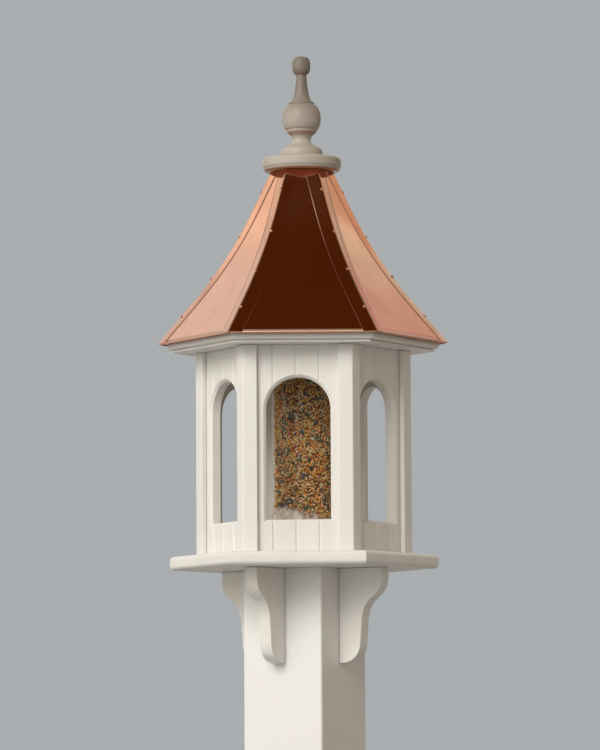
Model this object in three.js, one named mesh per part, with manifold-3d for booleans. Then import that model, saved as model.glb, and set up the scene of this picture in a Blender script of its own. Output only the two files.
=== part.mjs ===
// A hexagonal gazebo bird feeder of white cellular PVC board with a flared copper roof,
// standing on a white 4x4 post. Millimetres, +Z up. The origin is the middle of the post's
// foot at ground level, and a roof panel and the front window face -Y.
import * as THREE from "three";
import { mergeVertices } from "three/addons/utils/BufferGeometryUtils.js";
import Module from "manifold-3d";

const wasm = await Module();
wasm.setup();

// ---- Driving dimensions -------------------------------------------------------------

const INCH = 25.4;
const GAP = 0.3; // left between pieces that touch
const HALF_INCH_BOARD = 0.5 * INCH;
const BOARD = 0.625 * INCH; // tray, eave board, brackets and cap disc
const TRIM_BOARD = 0.25 * INCH; // corner boards
const SIXTH = Math.PI / 3;
const FLAT = Math.cos(Math.PI / 6); // a hexagon's flat distance for a corner distance of 1

// Post: a vinyl sleeve over a 4x4 timber, square to two corners and two flats of the roof.
const POST_HEIGHT = 48 * INCH;
const POST_TURN = -SIXTH / 2;
const SLEEVE = { side: 4.05 * INCH, wall: 3.4, corner: 2.6, insideCorner: 0.8 };
const TIMBER_SIDE = 3.5 * INCH;

// Brackets: fixed under the tray, one to each post face. The setback lets them clear the
// post although they are turned with the tray.
const BRACKET = { reach: 57.4, height: 108.5, lip: 12, waist: 29.5, setback: 0.9 };

// House: tray, brackets, six windowed walls and six corner boards. It is screwed down a
// little round from the post and the roof, so its pieces share this turn.
const HOUSE_TURN = THREE.MathUtils.degToRad(-3.3);
const TRAY = { corner: 155, round: 5 };
const HOUSE_CORNER = 124.4; // outer corner of the corner boards
const HOUSE_HEIGHT = 234.8;
const CORNER_LEG = 16.2;
const WINDOW = { halfWidth: 36.5, sill: 36.4, spring: 161, chamfer: 3 };
// V-grooves in each wall board, set off from the middle of the wall.
const BEAD = { pitch: 26.2, count: 3, offset: -2.3, width: 3, depth: 1.1 };

// Seed tube: 2 7/8 inch clear tube from the floor up into the roof, round a deflecting cone.
const TUBE = { outer: 1.4375 * INCH, inner: 1.375 * INCH, top: 400 };
const PORT = { halfWidth: 10, height: 27 };
const CONE = { foot: 3, top: 42, tip: 4 };
const SEED_TOP = 300;
const TRAY_SCREW = { ring: 50, radius: 2.2, head: 4.4, length: 62 };

// Roof, with heights from the top of the tray. The hip line is straight at the top, flares
// along a parabola, and is straight again to the eave.
const EAVE_BOARD = { corner: 156.8, hole: TUBE.outer + 0.5 };
const ROOF_TOP = 444.3;
const EAVE = 246.2; // where a panel's slope meets its hem
const HEM_DROP = 2.3;
const HIP = { top: 35.1, steep: 0.48, shallow: 0.85, flareStart: 50, flareEnd: 155 };
const FLARE_STEPS = 6;
const SHEET = 0.7; // copper thickness
const PANEL_SETBACK = 1.2; // from the hip line to a panel's edge
const CAP_LEG = 15.2;
const CAP_OVERHANG = 1.5; // how far a cap hangs below the panels' slope
const HIP_NAILS = { drops: [25, 76, 124, 169], radius: 2, stand: 2.6 };
const RIB = { thickness: 0.375 * INCH, setback: 6, foot: 100, throat: 27, shoulder: 330 };
const COLLAR = { height: 11, hole: INCH };

// Cap: a plug, a round disc and a turned finial that lift out of the roof together.
const CAP_SEAT = ROOF_TOP + GAP;
const DISC = { radius: 45.8, lowerRound: 6.2, upperRound: 4.6 };
const PLUG = { radius: 24.6, depth: BOARD };
const CAP_SCREW = { radius: 2.4, head: 4.8, headHeight: 3, length: 52 };
const SCREW_CLEARANCE = 0.3;

// ---- Materials ------------------------------------------------------------------------

const white = new THREE.MeshStandardMaterial({ color: 0xe9e6df, roughness: 0.45 });
const vinyl = new THREE.MeshStandardMaterial({ color: 0xebe8e1, roughness: 0.35 });
const copper = new THREE.MeshStandardMaterial({ color: 0xc9785a, roughness: 0.28, metalness: 1 });
const steel = new THREE.MeshStandardMaterial({ color: 0xb8bac0, roughness: 0.35, metalness: 1 });
const timber = new THREE.MeshStandardMaterial({ color: 0xb99b6b, roughness: 0.8 });
const seed = new THREE.MeshStandardMaterial({ color: 0xa9743e, roughness: 0.85 });
const acrylic = new THREE.MeshStandardMaterial({
  color: 0xeef4f2,
  roughness: 0.08,
  transparent: true,
  opacity: 0.25,
});

// ---- Solids ---------------------------------------------------------------------------

// A closed geometry as a manifold solid.
function solid(geometry) {
  const bare = geometry.index ? geometry.toNonIndexed() : geometry.clone();
  bare.deleteAttribute("normal");
  bare.deleteAttribute("uv");
  const merged = mergeVertices(bare, 1e-3);
  return new wasm.Manifold(
    new wasm.Mesh({
      numProp: 3,
      vertProperties: new Float32Array(merged.attributes.position.array),
      triVerts: new Uint32Array(merged.index.array),
    }),
  );
}

// A manifold solid as a geometry with flat shading.
function geometryOf(body) {
  const mesh = body.getMesh();
  const indexed = new THREE.BufferGeometry();
  indexed.setAttribute("position", new THREE.BufferAttribute(mesh.vertProperties, 3));
  indexed.setIndex(new THREE.BufferAttribute(mesh.triVerts, 1));
  const flat = indexed.toNonIndexed();
  flat.computeVertexNormals();
  return flat;
}

function cut(geometry, ...cutters) {
  return geometryOf(cutters.reduce((rest, c) => rest.subtract(solid(c)), solid(geometry)));
}

function join(...geometries) {
  return geometryOf(geometries.map(solid).reduce((all, s) => all.add(s)));
}

function extrude(shape, depth, options = {}) {
  return new THREE.ExtrudeGeometry(shape, { depth, bevelEnabled: false, ...options });
}

function polygon(points) {
  return new THREE.Shape(points.map(([x, y]) => new THREE.Vector2(x, y)));
}

// An upright cylinder standing on z, with its axis through (x, y).
function cylinder(radius, height, z = 0, x = 0, y = 0, sides = 24) {
  return new THREE.CylinderGeometry(radius, radius, height, sides)
    .rotateX(Math.PI / 2)
    .translate(x, y, z + height / 2);
}

// A solid of revolution about Z, from [radius, height] points or a path that runs upwards.
function turned(path, sides, curveDivisions = 6) {
  const points = path.getPoints
    ? path.getPoints(curveDivisions)
    : path.map(([r, z]) => new THREE.Vector2(r, z));
  return new THREE.LatheGeometry(points, sides).rotateX(Math.PI / 2);
}

// A hexagonal board with flats facing -Y, from a moulded edge given at its corner.
function hexagonal(path, curveDivisions = 3) {
  return turned(path, 6, curveDivisions).rotateZ(Math.PI / 6);
}

// A shape drawn in (across, up), stood up in the XZ plane and given thickness about y = 0.
function upright(shape, thickness, curveSegments = 8) {
  return extrude(shape, thickness, { curveSegments })
    .rotateX(Math.PI / 2)
    .translate(0, thickness / 2, 0);
}

const SIDE_NAMES = ["front", "front_right", "back_right", "back", "back_left", "front_left"];

function piece(parent, name, geometry, material, turn = 0) {
  const mesh = new THREE.Mesh(geometry, material);
  mesh.name = name;
  mesh.rotation.z = turn;
  parent.add(mesh);
  return mesh;
}

// Six copies of a piece, the first facing -Y or, with half a step, its right-hand corner.
function ring(parent, prefix, geometry, material, step = 0) {
  SIDE_NAMES.forEach((side, k) =>
    piece(parent, `${prefix}_${side}`, geometry, material, (k + step) * SIXTH),
  );
}

// ---- Post -----------------------------------------------------------------------------

function roundedSquare(side, corner) {
  const h = side / 2;
  const c = h - corner;
  const shape = new THREE.Shape();
  shape.moveTo(h, -c);
  shape.lineTo(h, c);
  shape.absarc(c, c, corner, 0, Math.PI / 2);
  shape.absarc(-c, c, corner, Math.PI / 2, Math.PI);
  shape.absarc(-c, -c, corner, Math.PI, 1.5 * Math.PI);
  shape.absarc(c, -c, corner, 1.5 * Math.PI, 2 * Math.PI);
  return shape;
}

function postSleeve() {
  const shape = roundedSquare(SLEEVE.side, SLEEVE.corner);
  const inside = SLEEVE.side - 2 * SLEEVE.wall;
  shape.holes.push(roundedSquare(inside, SLEEVE.insideCorner));
  return extrude(shape, POST_HEIGHT - GAP, { curveSegments: 4 });
}

// The tray's four screws, near the corners of a post turned by an angle.
function screwPlaces(turn) {
  return [0, 1, 2, 3].map((k) => {
    const angle = turn + (k + 0.5) * (Math.PI / 2);
    return [TRAY_SCREW.ring * Math.cos(angle), TRAY_SCREW.ring * Math.sin(angle)];
  });
}

function postTimber() {
  const block = new THREE.BoxGeometry(TIMBER_SIDE, TIMBER_SIDE, POST_HEIGHT - GAP);
  block.translate(0, 0, (POST_HEIGHT - GAP) / 2);
  const depth = TRAY_SCREW.length - BOARD + 2;
  const pilots = screwPlaces(0).map(([x, y]) =>
    cylinder(TRAY_SCREW.radius + SCREW_CLEARANCE, depth + 1, POST_HEIGHT - GAP - depth, x, y, 12),
  );
  return cut(block, ...pilots);
}

function buildPost() {
  const post = new THREE.Group();
  post.rotation.z = POST_TURN;
  piece(post, "post_sleeve", postSleeve(), vinyl);
  piece(post, "post_timber", postTimber(), timber);
  return post;
}

// ---- Brackets, tray, walls and corner boards ------------------------------------------

// The scrolled corbel outline: a convex lobe under the tray, a hollow, a slim waist and a
// rounded foot against the post.
function bracketShape() {
  const { reach, height, lip, waist } = BRACKET;
  const shape = new THREE.Shape();
  shape.moveTo(0, 0);
  shape.lineTo(0, -height);
  shape.lineTo(6, -height + 0.3);
  shape.bezierCurveTo(18, -height + 1.5, waist - 2, -height + 9, waist - 1.2, -height + 23);
  shape.lineTo(waist + 0.8, -height * 0.56);
  shape.bezierCurveTo(waist + 1.5, -48, waist + 6, -42, 41, -36.5);
  shape.bezierCurveTo(50, -30.5, reach, -24, reach, -lip);
  shape.lineTo(reach, 0);
  return shape;
}

function trayBoard() {
  const r = TRAY.corner;
  const across = TRAY.round / FLAT;
  const edge = new THREE.Path();
  edge.moveTo(0, -BOARD);
  edge.lineTo(r - across, -BOARD);
  edge.absellipse(r - across, TRAY.round - BOARD, across, TRAY.round, -Math.PI / 2, 0, false);
  edge.lineTo(r, -TRAY.round);
  edge.absellipse(r - across, -TRAY.round, across, TRAY.round, 0, Math.PI / 2, false);
  edge.lineTo(0, 0);
  const holes = screwPlaces(POST_TURN).flatMap(([x, y]) => [
    cylinder(TRAY_SCREW.radius + SCREW_CLEARANCE, BOARD + 2, -BOARD - 1, x, y, 12),
    cylinder(TRAY_SCREW.head + SCREW_CLEARANCE, 6, -TRAY_SCREW.head - SCREW_CLEARANCE, x, y, 12),
  ]);
  return cut(hexagonal(edge).rotateZ(HOUSE_TURN), ...holes);
}

function trayScrew(x, y) {
  const { radius, head, length } = TRAY_SCREW;
  return turned(
    [[0, -length], [radius, 4 - length], [radius, -head], [head, -1.4], [head, -0.6], [0, -0.6]],
    12,
  ).translate(x, y, 0);
}

// A wall's window opening, drawn in (across, up).
function archShape() {
  const { halfWidth, sill, spring } = WINDOW;
  const arch = new THREE.Shape();
  arch.moveTo(-halfWidth, sill);
  arch.lineTo(halfWidth, sill);
  arch.lineTo(halfWidth, spring);
  arch.absarc(0, spring, halfWidth, 0, Math.PI, false);
  return arch;
}

// A wall facing -Y: a beaded board with mitred ends, cut by the arched window.
function wallPanel() {
  const outer = HOUSE_CORNER * FLAT - TRIM_BOARD;
  const inner = outer - HALF_INCH_BOARD;
  const halfAt = (distance) => distance * Math.tan(SIXTH / 2) - GAP;
  const plan = [
    [halfAt(outer), -outer],
    [halfAt(inner), -inner],
    [-halfAt(inner), -inner],
    [-halfAt(outer), -outer],
  ];
  for (let k = 0; k < BEAD.count; k++) {
    const x = BEAD.offset + (k - (BEAD.count - 1) / 2) * BEAD.pitch;
    plan.push([x - BEAD.width / 2, -outer], [x, -outer + BEAD.depth], [x + BEAD.width / 2, -outer]);
  }
  const board = extrude(polygon(plan), HOUSE_HEIGHT - 2 * GAP).translate(0, 0, GAP);
  const through = extrude(archShape(), 60, { curveSegments: 20 })
    .rotateX(Math.PI / 2)
    .translate(0, -inner + 20, 0);
  // The chamfer's cutter: its bevelled end reaches its full size just outside the wall.
  const chamfer = extrude(archShape(), 20, {
    curveSegments: 20,
    bevelEnabled: true,
    bevelSegments: 1,
    bevelSize: WINDOW.chamfer,
    bevelThickness: WINDOW.chamfer,
  })
    .rotateX(Math.PI / 2)
    .translate(0, -outer - 0.01, 0);
  return cut(board, through, chamfer);
}

// A corner board whose corner points to -Y: a V that laps onto the two walls beside it.
function cornerBoard() {
  const thickness = TRIM_BOARD - GAP;
  const end = [CORNER_LEG * FLAT, CORNER_LEG / 2 - HOUSE_CORNER];
  const back = [end[0] - thickness / 2, end[1] + thickness * FLAT];
  const plan = [
    [0, -HOUSE_CORNER],
    end,
    back,
    [0, thickness / FLAT - HOUSE_CORNER],
    [-back[0], back[1]],
    [-end[0], end[1]],
  ];
  return extrude(polygon(plan), HOUSE_HEIGHT - 2 * GAP).translate(0, 0, GAP);
}

// The four brackets, starting with the one to the left of the front.
function buildBrackets() {
  const brackets = new THREE.Group();
  brackets.rotation.z = POST_TURN + HOUSE_TURN;
  const foot = SLEEVE.side / 2 + BRACKET.setback;
  const corbel = upright(bracketShape(), BOARD).translate(foot, 0, -BOARD - GAP);
  ["front_left", "front_right", "back_right", "back_left"].forEach((side, k) =>
    piece(brackets, `bracket_${side}`, corbel, white, (k - 1) * (Math.PI / 2)),
  );
  return brackets;
}

function buildHouse() {
  const house = new THREE.Group();
  house.add(buildBrackets());
  piece(house, "tray_board", trayBoard(), white);
  screwPlaces(POST_TURN).forEach(([x, y], k) =>
    piece(house, `tray_screw_${k + 1}`, trayScrew(x, y), steel),
  );
  const walls = new THREE.Group();
  walls.rotation.z = HOUSE_TURN;
  ring(walls, "wall", wallPanel(), white);
  ring(walls, "corner_board", cornerBoard(), white, 0.5);
  house.add(walls);
  return house;
}

// ---- Seed tube ------------------------------------------------------------------------

function portShape() {
  const port = new THREE.Shape();
  port.moveTo(-PORT.halfWidth, -5);
  port.lineTo(PORT.halfWidth, -5);
  port.lineTo(PORT.halfWidth, PORT.height - PORT.halfWidth);
  port.absarc(0, PORT.height - PORT.halfWidth, PORT.halfWidth, 0, Math.PI, false);
  return port;
}

function seedTube() {
  const { outer, inner, top } = TUBE;
  const wall = turned([[inner, GAP], [outer, GAP], [outer, top], [inner, top], [inner, GAP]], 40);
  const slot = upright(portShape(), 2 * outer + 10, 5);
  return cut(wall, slot, slot.clone().rotateZ(Math.PI / 2));
}

function deflectorCone() {
  const foot = TUBE.inner - GAP;
  return turned([[0, GAP], [foot, GAP], [foot, CONE.foot], [CONE.tip, CONE.top], [0, CONE.top + 1]], 32);
}

// The seed inside the tube, resting on the cone, with a low heap on top.
function seedFill() {
  const radius = TUBE.inner - GAP;
  return turned(
    [
      [0, CONE.top + 2],
      [CONE.tip + 1, CONE.top + 1],
      [radius, CONE.foot + 2],
      [radius, SEED_TOP],
      [0, SEED_TOP + 12],
    ],
    32,
  );
}

function buildTube() {
  const tube = new THREE.Group();
  piece(tube, "seed_tube", seedTube(), acrylic);
  piece(tube, "deflector_cone", deflectorCone(), white);
  piece(tube, "seed_fill", seedFill(), seed);
  return tube;
}

// ---- Roof -----------------------------------------------------------------------------

// The hip line's distance from the axis, at a drop below the roof's top.
function hipRadius(drop) {
  const { top, steep, shallow, flareStart, flareEnd } = HIP;
  const flared = THREE.MathUtils.clamp(drop - flareStart, 0, flareEnd - flareStart);
  const growth = (shallow - steep) / (2 * (flareEnd - flareStart));
  const beyond = Math.max(drop - flareEnd, 0);
  return top + steep * (drop - beyond) + growth * flared ** 2 + shallow * beyond;
}

function hipSlope(drop) {
  return hipRadius(drop + 0.5) - hipRadius(drop - 0.5);
}

// The drops at which the copper is creased, from the top to the eave.
function creases() {
  const { flareStart, flareEnd } = HIP;
  const flare = Array.from(
    { length: FLARE_STEPS + 1 },
    (_, i) => flareStart + (i * (flareEnd - flareStart)) / FLARE_STEPS,
  );
  return [0, ...flare, ROOF_TOP - EAVE];
}

// A roof face's profile from eave to top: distance out from the axis to the flat, height,
// and the outward slope of its surface as a unit normal in that plane.
function faceProfile(withHem) {
  const points = creases()
    .map((drop) => ({ out: hipRadius(drop) * FLAT, up: ROOF_TOP - drop }))
    .reverse();
  if (withHem) points.unshift({ out: points[0].out + 0.4, up: points[0].up - HEM_DROP });
  return points.map((p, i) => {
    const before = points[Math.max(i - 1, 0)];
    const after = points[Math.min(i + 1, points.length - 1)];
    const run = new THREE.Vector2(before.out - after.out, after.up - before.up).normalize();
    return { ...p, normalOut: run.y, normalUp: run.x };
  });
}

// A flat strip's section, swept up a profile: place(x, y, row) says where each point goes.
function sweptUp(section, profile, place) {
  const rows = profile.length - 1;
  const geometry = extrude(polygon(section), rows, { steps: rows });
  const spots = geometry.attributes.position;
  for (let i = 0; i < spots.count; i++) {
    const row = profile[Math.round(spots.getZ(i))];
    spots.setXYZ(i, ...place(spots.getX(i), spots.getY(i), row));
  }
  return geometry;
}

// One copper panel facing -Y, a little short of the hips on both sides.
function copperPanel() {
  const section = [[-1, 0], [1, 0], [1, 1], [-1, 1]];
  return sweptUp(section, faceProfile(true), (x, y, row) => {
    const half = row.out * Math.tan(SIXTH / 2) - PANEL_SETBACK;
    const inward = y * SHEET;
    return [x * half, -row.out + inward * row.normalOut, row.up - inward * row.normalUp];
  });
}

// Where a point of a hip cap lies: along a leg from the hip, to -X when positive, and proud
// of the panels by a height. The corner points to -Y.
function onHip(leg, proud, row) {
  const side = Math.sign(leg);
  const radius = row.out / FLAT;
  if (side === 0) {
    const spread = 1 - row.normalOut ** 2 / 4;
    const lift = proud / spread;
    return [0, -radius - lift * row.normalOut * FLAT, row.up + lift * row.normalUp];
  }
  return [
    -leg * FLAT - (side * proud * row.normalOut) / 2,
    -radius + Math.abs(leg) / 2 - proud * row.normalOut * FLAT,
    row.up + proud * row.normalUp,
  ];
}

// A nail head standing on the hip line at a drop below the roof's top.
function nailHead(drop) {
  const { radius, stand } = HIP_NAILS;
  const lean = Math.atan(hipSlope(drop));
  return new THREE.CylinderGeometry(radius, radius, stand + 1, 8)
    .translate(0, (stand + 1) / 2, 0)
    .rotateX(Math.PI - lean)
    .translate(0, -hipRadius(drop) - GAP, ROOF_TOP - drop);
}

// Moves a profile's row down its slope.
function slideDown(row, drop, distance) {
  row.up -= distance;
  row.out += distance * hipSlope(drop) * FLAT;
}

// A folded copper strip over one hip, with the heads of its four nails.
function hipCap() {
  const fold = (leg, proud) => [leg, proud + CAP_LEG - Math.abs(leg)];
  const low = GAP;
  const high = GAP + SHEET;
  const underside = [fold(-CAP_LEG, low), fold(0, low), fold(CAP_LEG, low)];
  const face = [fold(CAP_LEG, high), fold(0, high), fold(-CAP_LEG, high)];
  const profile = faceProfile(false);
  slideDown(profile[0], ROOF_TOP - EAVE, CAP_OVERHANG);
  slideDown(profile.at(-1), 0, 2 * GAP);
  const strip = sweptUp([...underside, ...face], profile, (leg, height, row) =>
    onHip(leg, height - CAP_LEG + Math.abs(leg), row),
  );
  return join(strip, ...HIP_NAILS.drops.map(nailHead));
}

// The board under the roof: a vertical face, a quarter round and a narrow fillet.
function eaveBoard() {
  const r = EAVE_BOARD.corner;
  const edge = new THREE.Path();
  edge.moveTo(0, 0);
  edge.lineTo(r - 5.2, 0);
  edge.lineTo(r - 5.2, 1.7);
  edge.lineTo(r - 4.3, 1.9);
  edge.absellipse(r - 4.3, 5.2, 4.3, 3.3, -Math.PI / 2, 0, false);
  edge.lineTo(r, BOARD - 1.5);
  edge.lineTo(r - 4, BOARD);
  edge.lineTo(0, BOARD);
  const board = hexagonal(edge).translate(0, 0, HOUSE_HEIGHT);
  return cut(board, cylinder(EAVE_BOARD.hole, BOARD + 2, HOUSE_HEIGHT - 1, 0, 0, 40));
}

// A hip rib: it stands on the eave board behind a hip, clears the tube and carries the
// collar. The hip points to -Y.
function roofRib() {
  const { setback, foot, throat, shoulder } = RIB;
  const low = HOUSE_HEIGHT + BOARD + GAP;
  const high = ROOF_TOP - COLLAR.height - GAP;
  const clear = TUBE.outer + 1.5;
  const edge = creases()
    .filter((drop) => ROOF_TOP - drop > low && ROOF_TOP - drop < high)
    .map((drop) => [hipRadius(drop) - setback, ROOF_TOP - drop])
    .reverse();
  const outline = [
    [foot, low],
    [hipRadius(ROOF_TOP - low) - setback, low],
    ...edge,
    [hipRadius(ROOF_TOP - high) - setback, high],
    [throat, high],
    [throat, TUBE.top + 1],
    [clear, TUBE.top + 1],
    [clear, shoulder],
  ];
  return upright(polygon(outline), RIB.thickness).rotateZ(-Math.PI / 2);
}

// The collar at the roof's top, whose round hole takes the cap's plug and the seed.
function roofCollar() {
  const low = ROOF_TOP - COLLAR.height;
  const cornerAt = (drop) => hipRadius(drop) - (SHEET + 2 * GAP) / FLAT;
  const foot = [cornerAt(COLLAR.height), low];
  const frustum = hexagonal([[0, low], foot, [cornerAt(0), ROOF_TOP], [0, ROOF_TOP]]);
  return cut(frustum, cylinder(COLLAR.hole, COLLAR.height + 2, low - 1, 0, 0, 32));
}

function buildRoof() {
  const roof = new THREE.Group();
  piece(roof, "eave_board", eaveBoard(), white);
  piece(roof, "roof_collar", roofCollar(), white);
  ring(roof, "roof_rib", roofRib(), timber, 0.5);
  ring(roof, "copper_panel", copperPanel(), copper);
  ring(roof, "hip_cap", hipCap(), copper, 0.5);
  return roof;
}

// ---- Cap ------------------------------------------------------------------------------

// The finial's outline from its foot on the disc to the top of its knob.
function finialPath() {
  const path = new THREE.Path();
  const ball = { height: 45.3, across: 22.5, up: 23.6, end: 0.836 };
  path.moveTo(0, 0);
  path.lineTo(24, 0);
  path.lineTo(24.9, 2);
  path.lineTo(24.9, 6.6);
  path.bezierCurveTo(24.7, 10.5, 22.6, 12.6, 20, 13);
  path.lineTo(18.8, 13.2);
  path.bezierCurveTo(13.5, 15.6, 10.4, 18, 10.4, 21.4);
  path.bezierCurveTo(10.4, 23.6, 11.4, 25.2, 13.4, 26);
  path.lineTo(15, 26.5);
  path.absellipse(0, ball.height, ball.across, ball.up, -ball.end, ball.end, false);
  path.lineTo(13.2, 63.8);
  path.lineTo(13, 65.4);
  path.lineTo(11.6, 66.8);
  path.bezierCurveTo(8.8, 72.5, 6.6, 84, 6.1, 97);
  path.bezierCurveTo(9, 98.4, 10.6, 101, 10.6, 104.6);
  path.lineTo(10.6, 109.6);
  path.bezierCurveTo(10.6, 115.2, 8.6, 118.5, 4.2, 118.5);
  path.lineTo(0, 118.5);
  return path;
}

function capDisc() {
  const { radius, lowerRound, upperRound } = DISC;
  const edge = new THREE.Path();
  edge.moveTo(0, 0);
  edge.lineTo(radius - lowerRound, 0);
  edge.absarc(radius - lowerRound, lowerRound, lowerRound, -Math.PI / 2, 0, false);
  edge.lineTo(radius, BOARD - upperRound);
  edge.absarc(radius - upperRound, BOARD - upperRound, upperRound, 0, Math.PI / 2, false);
  edge.lineTo(0, BOARD);
  return turned(edge, 40, 4);
}

// The long screw, head down, that holds plug, disc and finial together.
function capScrew() {
  const { radius, head, headHeight, length } = CAP_SCREW;
  const underHead = [[0, -headHeight], [head, -headHeight], [head, 0], [radius, 0]];
  return turned([...underHead, [radius, length - 4], [0, length]], 12);
}

function buildCap() {
  const cap = new THREE.Group();
  cap.position.z = CAP_SEAT;
  const plugFoot = -GAP - PLUG.depth;
  const boreRadius = CAP_SCREW.radius + SCREW_CLEARANCE;
  const bore = cylinder(boreRadius, CAP_SCREW.length + 4, plugFoot - 1, 0, 0, 12);
  const finial = turned(finialPath(), 28, 5).translate(0, 0, BOARD + GAP);
  piece(cap, "finial", cut(finial, bore), white);
  piece(cap, "cap_disc", cut(capDisc(), bore), white);
  piece(cap, "cap_plug", cut(cylinder(PLUG.radius, PLUG.depth, plugFoot, 0, 0, 32), bore), white);
  piece(cap, "cap_screw", capScrew().translate(0, 0, plugFoot - GAP), steel);
  return cap;
}

// ---- The whole feeder -----------------------------------------------------------------

const feeder = new THREE.Group();
const head = new THREE.Group();
head.position.z = POST_HEIGHT + BOARD; // the tray's top
head.add(buildHouse(), buildTube(), buildRoof(), buildCap());
feeder.add(buildPost(), head);

export default feeder;
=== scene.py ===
"""The looks of a gazebo bird feeder on a post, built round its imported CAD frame.

Everything is in metres in the CAD's own frame: +Z up, the front window facing -Y, the
post's foot at the origin. Boards are cleaned copies of their CAD nodes. The copper, its
nails and the seed are built here, from sizes read off the frame.
"""
import math
import random

import bmesh
import bpy
from mathutils import Euler, Matrix, Vector, noise


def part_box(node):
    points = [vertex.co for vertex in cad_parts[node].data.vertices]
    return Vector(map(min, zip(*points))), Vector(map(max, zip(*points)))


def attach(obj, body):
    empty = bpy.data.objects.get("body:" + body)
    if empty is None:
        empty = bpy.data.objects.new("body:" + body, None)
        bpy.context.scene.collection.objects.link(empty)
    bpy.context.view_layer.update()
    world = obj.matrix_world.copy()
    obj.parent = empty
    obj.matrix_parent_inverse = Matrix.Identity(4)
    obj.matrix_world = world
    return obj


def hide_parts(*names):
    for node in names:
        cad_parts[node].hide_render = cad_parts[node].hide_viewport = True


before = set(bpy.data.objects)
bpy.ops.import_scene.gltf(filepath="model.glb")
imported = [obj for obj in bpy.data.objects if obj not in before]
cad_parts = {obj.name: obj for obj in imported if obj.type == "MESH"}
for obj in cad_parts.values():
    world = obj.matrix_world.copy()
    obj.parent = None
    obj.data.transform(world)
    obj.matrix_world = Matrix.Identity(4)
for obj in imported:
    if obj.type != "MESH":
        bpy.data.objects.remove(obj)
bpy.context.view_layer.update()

MM = 0.001
SIDES = ["front", "front_right", "back_right", "back", "back_left", "front_left"]
SIXTH = math.pi / 3
FLAT = math.cos(math.pi / 6)

TRAY_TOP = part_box("tray_board")[1].z

# Roof panels: the copper's thickness, the folded lower edge, how far the sides stop short of
# the hips, how deep the sheet ripples, and the grid that draws it.
SHEET = 0.7 * MM
HEM = 2.3 * MM
SEAM = 1.2 * MM
RIPPLE = 0.22 * MM
ROOF_STEPS = 44
PANEL_COLUMNS = 25

# Strips over the hips: each leg's width, the copper's thickness, how high the ridge stands
# over the panels, the gap under the legs' edges, the share of a leg that the fold rounds, and
# how much it takes off the ridge.
CAP_LEG = 15.2 * MM
CAP_SHEET = 0.4 * MM
RIDGE_LIFT = 0.75 * MM
CAP_GAP = 0.12 * MM
FOLD = 0.14
FOLD_DROP = 0.42 * MM
# Nails of a hip, as drops from the roof's top.
NAIL_DROPS = [25 * MM, 76 * MM, 124 * MM, 169 * MM]

# Seed: the space it fills, and the height up to which the windows show it.
SEED_LOW, SEED_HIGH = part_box("seed_fill")
SEED_RADIUS = (SEED_HIGH.x - SEED_LOW.x) / 2
SEEN_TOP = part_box("eave_board")[1].z

# Dried drips on the tube: x, y, lowest and highest point above the tray, and width, in metres.
DRIPS = [
    (-0.0215, -0.0275, 0.162, 0.190, 0.0012),
    (-0.0046, -0.0346, 0.171, 0.186, 0.0009),
    (0.0170, 0.0305, 0.120, 0.165, 0.0012),
]

# Camera: its distance in front and drop below the tray's top in metres, its angles in degrees
# and its lens in millimetres.
CAMERA_DISTANCE = 5.0655
CAMERA_DROP = 0.2338
CAMERA_PITCH = 4.991
CAMERA_ROLL = -0.337
CAMERA_YAW = 0.040
CAMERA_LENS = 211.56

# Softboxes light the boards and aren't seen in the copper or the tube. Each is a name,
# azimuth, elevation, distance and size in metres, power and colour.
SOFTBOXES = [
    ("key", -36, 37.5, 4.0, 0.30, 12, (1.0, 0.97, 0.93)),
    ("broad", -26, 33, 4.0, 2.2, 62, (1.0, 0.975, 0.935)),
]

# The studio's surroundings, seen by reflection and as soft light. Each glow is
# (azimuth, elevation), inner and outer radius in degrees, colour. Glows add up.
GLOWS = [
    ((0, 90), 180, 181, (0.122, 0.107, 0.086)),
    ((-26, 33), 6, 30, (2.00, 1.95, 1.87)),
    ((-28, 15), 10, 40, (0.95, 0.92, 0.87)),
    ((-60, 18), 10, 45, (0.48, 0.47, 0.44)),
    ((-100, 15), 10, 50, (0.55, 0.52, 0.47)),
    ((45, 12), 10, 42, (0.13, 0.11, 0.085)),
    ((90, 18), 10, 45, (0.45, 0.39, 0.31)),
    ((180, 15), 15, 45, (0.31, 0.30, 0.29)),
    ((180, -5), 8, 40, (0.50, 0.49, 0.47)),
    ((180, 62), 12, 40, (0.25, 0.245, 0.235)),
    ((132, 26), 3, 10, (0.42, 0.25, 0.15)),
    ((140, 29.5), 2, 8, (0.30, 0.42, 0.38)),
    ((149, 31), 3, 10, (0.22, 0.03, 0.0)),
    ((-132, 26), 3, 10, (0.54, 0.45, 0.36)),
    ((-140, 29.5), 2, 8, (0.13, 0.13, 0.15)),
    ((-149, 31), 3, 10, (0.46, 0.43, 0.40)),
]
# Hung dark above the front: (azimuth, elevation), inner and outer radius, colour.
CANOPY = (0, 70), 24, 34, (0.069, 0.020, 0.003)
# The plain colour behind the object.
BACKDROP = (0.40, 0.42, 0.43)


# ---- Shader helpers -------------------------------------------------------------------


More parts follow.
